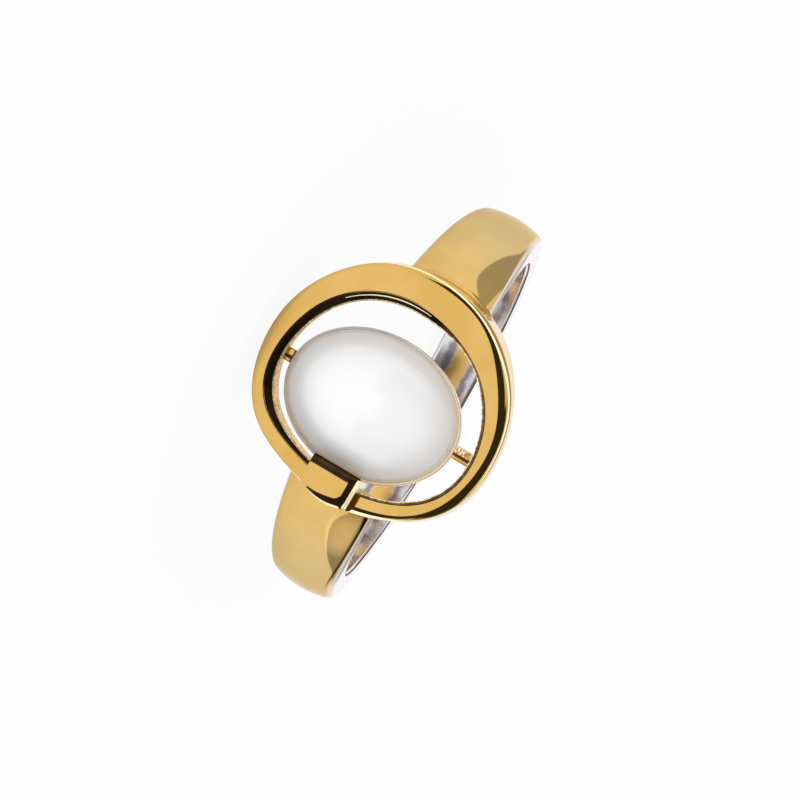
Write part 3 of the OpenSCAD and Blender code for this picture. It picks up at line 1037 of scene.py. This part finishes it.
def pearl_tone(tree, place):
    """Colour of the stone: milky with faint layers and veils; painted shade greys
    its high side and its edge, most of all on its low side."""
    middle = {"Vector": place, "Location": (PEARL_SHIFT, PEARL_ALONG, 0),
              "Scale": (PEARL_W / 2, PEARL_L / 2, 1)}
    oval = node(tree, "Mapping", middle, vector_type="TEXTURE").outputs[0]
    flat = node(tree, "VectorMath", {0: oval, 1: (1, 1, 0)}, operation="MULTIPLY").outputs[0]
    out = node(tree, "VectorMath", {0: flat}, operation="LENGTH").outputs["Value"]
    across, along = axes(tree, oval)[:2]
    low_side = rise(tree, minus(tree, across, times(tree, along, 0.35)), -0.1, 1.1)
    layers = node(tree, "TexWave", {"Vector": stretch(tree, place, (1.0, 0.35, 1.0)), "Scale": 1.1,
                                    "Distortion": 2.5, "Detail": 3.0, "Detail Scale": 0.8})
    cloud = noise(tree, stretch(tree, place, (1, 0.5, 1)), 0.5, 3.0)
    milky = blend(tree, times(tree, layers.outputs["Fac"], 0.10), MILK, LAYER)
    milky = blend(tree, times(tree, rise(tree, cloud, 0.4, 0.7), 0.08), milky, VEIL)
    # Painted shade on the high side, the edge and the girdle.
    high_side = times(tree, rise(tree, across, 0.2, -0.9), 0.10)
    milky = blend(tree, high_side, milky, HIGH_SIDE_SHADE)
    depth = plus(tree, 0.22, times(tree, low_side, 0.22))
    edge = times(tree, rise(tree, out, 0.55, 1.0), depth)
    colour = blend(tree, edge, milky, EDGE_SHADE)
    girdle = times(tree, rise(tree, out, 0.95, 0.97), rise(tree, across, 0.1, 0.7))
    return blend(tree, girdle, colour, blend(tree, low_side, HIGH_GIRDLE_SHADE, LOW_GIRDLE_SHADE))


def mother_of_pearl():
    """Milky nacre under a glassy polish."""
    material, tree, shader = new_material("mother_of_pearl")
    place = ring_place(tree)
    colour = pearl_tone(tree, place)
    tree.links.new(colour, shader.inputs["Base Color"])
    tree.links.new(colour, shader.inputs["Emission Color"])
    # Painted light: the colour shines faintly as emission, lifting the stone's shade by the tab.
    shader.inputs["Emission Strength"].default_value = 0.04
    shader.inputs["Roughness"].default_value = 0.22
    shader.inputs["IOR"].default_value = 1.55
    shader.inputs["Coat Weight"].default_value = 0.6
    shader.inputs["Coat Roughness"].default_value = 0.03
    fine = noise(tree, stretch(tree, place, (1, 0.3, 1)), 3.0, 3.0)
    bump = node(tree, "Bump", {"Strength": 0.08, "Distance": 0.03 * MM, "Height": fine})
    tree.links.new(bump.outputs[0], shader.inputs["Normal"])
    return material


# Stage, light and camera

# The table: half its size in metres, its drop under the ring and the reach of
# the shade; its tone, the shade, and the shade that polished metal sees.
TABLE_HALF, TABLE_DROP, SHADE_REACH = 6.0, 0.01 * MM, 12 * MM
TABLE_TONE, SHADE_TONE = (0.99, 0.99, 0.99, 1), (0.93, 0.925, 0.92, 1)
SEEN_SHADE = (0.5, 0.5, 0.5, 1)


def make_floor():
    """Wide pale table that glows evenly, with a soft shade close to the ring.
    Polished metal sees that shade darker."""
    bm = bmesh.new()
    bmesh.ops.create_grid(bm, x_segments=2, y_segments=2, size=TABLE_HALF)
    bmesh.ops.translate(bm, verts=bm.verts, vec=(0, 0, -TABLE_DROP))
    floor = new_object("floor", bm)
    material, tree, _ = new_material("pale_table")
    tree.nodes.clear()
    shade = node(tree, "AmbientOcclusion", {"Distance": SHADE_REACH}, samples=8)
    seen = node(tree, "LightPath").outputs["Is Glossy Ray"]
    close = blend(tree, seen, SHADE_TONE, SEEN_SHADE)
    glow = node(tree, "Emission", {"Color": blend(tree, shade.outputs["AO"], close, TABLE_TONE)})
    node(tree, "OutputMaterial", {"Surface": glow.outputs[0]})
    floor.data.materials.append(material)


# The studio that polished metal sees, in degrees: turn beside the head, with
# the left below 0, and height. It is dark where no card hangs.
DARK = 0.035
SIDE_CARDS = {"turn": (60, 181), "height": (-90, 33), "strength": 0.95}
LEFT_CARD = {"turn": (-181, -64), "height": (33, 60), "strength": 0.85}
BACK_CARD = {"turn": (150, 181), "height": (33, 60), "strength": 0.95}
FRONT_CARD = {"turn": (-18, 18), "height": (-10, 14), "strength": 1.0}
CARD_SOFT = 2.0
# Table as the metal sees it, up to the horizon and softly over it.
TABLE_LIGHT, HORIZON, HORIZON_SOFT = 0.96, 3.2, 0.6
# The dark part of the sky at each side: where it starts beside the head, how
# softly it rounds to the horizon, its top, and how bright it is.
LEFT_SKY = {"start": 80, "round": 28, "top": 33, "strength": 0.44}
RIGHT_SKY = {"start": 75, "round": 42, "top": 38, "strength": 0.36}
SKY_SOFT = 1.5
# Soft glow within the right part: its middle, its size and what it adds.
GLOW = {"turn": 95, "height": 18, "size": 21, "strength": 0.4}
# Light on all that isn't polished: the least, what it gains towards the key
# side, and that side. The camera sees the backdrop in its own strength.
EVEN_LIGHT, KEY_LIGHT = 0.66, 0.38
KEY_SIDE = (-0.3, -0.8, 0.52)
BACKDROP = 0.985


def over(tree, below, strength, mask):
    """Puts light of that strength over what is below, where the mask is 1."""
    kept = times(tree, below, minus(tree, 1.0, mask))
    return plus(tree, kept, times(tree, strength, mask))


def between(tree, value, low, high):
    """1 from low to high, 0 outside, with soft ends."""
    return times(tree, rise(tree, value, low - CARD_SOFT, low + CARD_SOFT),
                 rise(tree, value, high + CARD_SOFT, high - CARD_SOFT))


def hang(tree, below, card, turn, height):
    """Hangs a pale card in the studio."""
    mask = times(tree, between(tree, turn, *card["turn"]), between(tree, height, *card["height"]))
    return over(tree, below, card["strength"], mask)


def darken(tree, below, look, off, height):
    """Puts the dark part of the sky at one side, rounded down to the horizon."""
    past = calc(tree, "MAXIMUM", minus(tree, off, look["start"]), 0.0)
    above = calc(tree, "MAXIMUM", minus(tree, height, HORIZON), 0.0)
    inside = times(tree, past, above)
    area = rise(tree, inside, look["round"] * 0.75, look["round"] * 1.3)
    area = times(tree, area, rise(tree, height, look["top"] + SKY_SOFT, look["top"] - SKY_SOFT))
    return over(tree, below, look["strength"], area)


def add_glow(tree, below, turn, height):
    """Adds the soft round glow."""
    far = plus(tree, calc(tree, "POWER", minus(tree, turn, GLOW["turn"]), 2.0),
               calc(tree, "POWER", minus(tree, height, GLOW["height"]), 2.0))
    glow = times(tree, rise(tree, far, GLOW["size"] ** 2, 0.0), GLOW["strength"])
    return plus(tree, below, glow)


def make_world():
    """Studio as the polished metal sees it: pale low down, a soft box in front,
    dark cards between and overhead. All else is lit by even soft light."""
    world = bpy.data.worlds.new("studio")
    world.use_nodes = True
    bpy.context.scene.world = world
    tree = world.node_tree
    tree.nodes.clear()
    toward = node(tree, "TexCoord").outputs["Generated"]
    x, y, z = axes(tree, toward)
    height = times(tree, calc(tree, "ARCSINE", z), 180 / pi)
    turn = times(tree, calc(tree, "ARCTAN2", x, times(tree, y, -1)), 180 / pi)
    side = calc(tree, "ABSOLUTE", turn)

    sky = hang(tree, DARK, SIDE_CARDS, side, height)
    sky = hang(tree, sky, LEFT_CARD, turn, height)
    sky = hang(tree, sky, BACK_CARD, turn, height)
    sky = darken(tree, sky, LEFT_SKY, times(tree, turn, -1), height)
    sky = darken(tree, sky, RIGHT_SKY, turn, height)
    sky = add_glow(tree, sky, turn, height)
    low = rise(tree, height, HORIZON + HORIZON_SOFT, HORIZON - HORIZON_SOFT)
    sky = over(tree, sky, TABLE_LIGHT, low)
    sky = hang(tree, sky, FRONT_CARD, turn, height)

    key = node(tree, "VectorMath", {0: toward, 1: KEY_SIDE}, operation="DOT_PRODUCT").outputs["Value"]
    even = plus(tree, EVEN_LIGHT, times(tree, rise(tree, key, -0.2, 1.0), KEY_LIGHT))
    path = node(tree, "LightPath").outputs
    lit = over(tree, even, sky, path["Is Glossy Ray"])
    lit = over(tree, lit, BACKDROP, path["Is Camera Ray"])
    studio = node(tree, "Background", {"Color": (1, 1, 1, 1), "Strength": lit})
    node(tree, "OutputWorld", {"Surface": studio.outputs[0]})


def make_camera():
    """Camera over the ring's head, as far and as turned as the photo's."""
    distance = 280.0
    tilt, turn, roll = radians(7.43), radians(1.15), radians(-120.4)
    aim = (-0.483, 0.167)
    focal_px, photo_px = 5594.0, 800
    sensor_mm = 36
    data = bpy.data.cameras.new("camera")
    data.sensor_width = sensor_mm
    data.lens = focal_px * sensor_mm / photo_px
    data.clip_start = 0.01
    data.clip_end = 20
    camera = bpy.data.objects.new("camera", data)
    bpy.context.collection.objects.link(camera)
    to_camera = (Matrix.Rotation(roll, 3, "Z") @ Matrix.Rotation(turn, 3, "Y")
                 @ Matrix.Rotation(tilt, 3, "X"))
    back = to_camera.transposed()
    camera.location = LAY @ (back @ Vector((*aim, distance)))
    camera.rotation_mode = "QUATERNION"
    camera.rotation_quaternion = (LAY.to_3x3().normalized() @ back).to_quaternion()
    bpy.context.scene.camera = camera


make_floor()
make_world()
make_camera()
bpy.context.scene.view_settings.view_transform = "Standard"

metals = gold_finishes()
make_band(metals)
make_hoop(metals)
make_tab(metals)
make_ridges(metals)
make_cup(metals)
make_pearl(mother_of_pearl())
for side in (1, -1):
    make_bars(side, metals)
